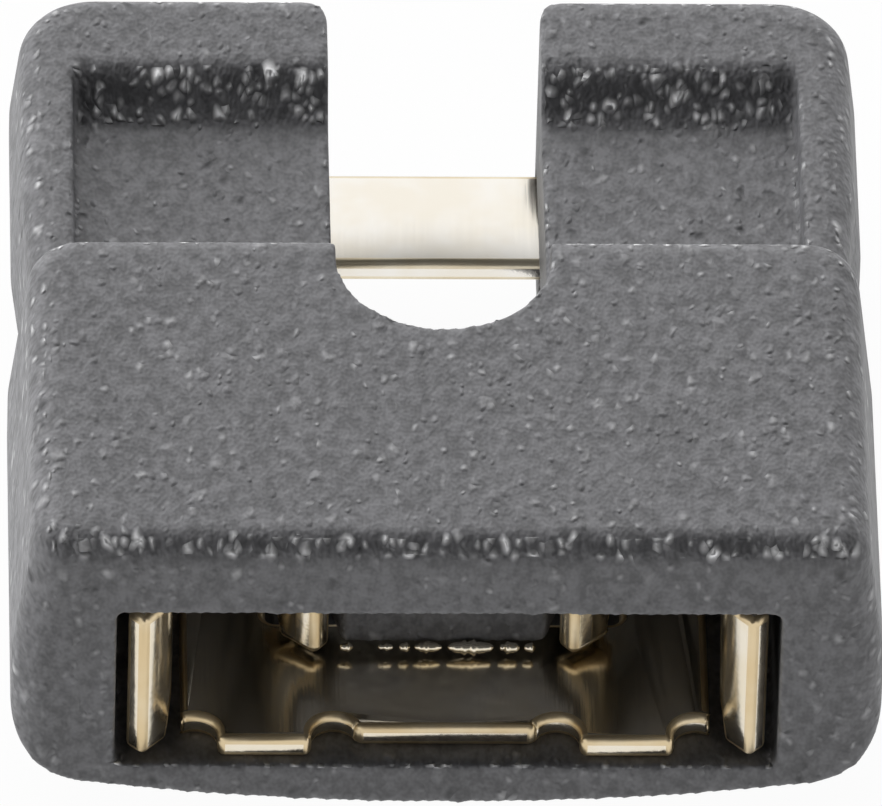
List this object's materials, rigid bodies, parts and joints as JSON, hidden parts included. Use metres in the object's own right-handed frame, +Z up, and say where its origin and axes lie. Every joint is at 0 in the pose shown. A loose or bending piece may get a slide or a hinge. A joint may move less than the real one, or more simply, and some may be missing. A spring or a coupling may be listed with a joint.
{
  "type": "jumper shunt",
  "caption": "Jumper shunt: moulded block with an open mouth, notched grip ears and a gold-plated bridging contact, which joins neighbouring square posts of a pin header.",
  "frame": {"origin": "centre of the footprint, at the lowest line of the bowed underside that the part lies on", "axes": "+X along the row of the two posts, +Y from the mouth to the grip ears, +Z up through the thickness"},
  "size_m": [0.005, 0.0052, 0.002],
  "materials": {
    "housing": "matte glass-filled moulding, finely grained",
    "contact": "bright gold plating on a copper alloy spring strip"
  },
  "bodies": {
    "root": {"housing": "housing", "contact": "contact"}
  },
  "joints": []
}
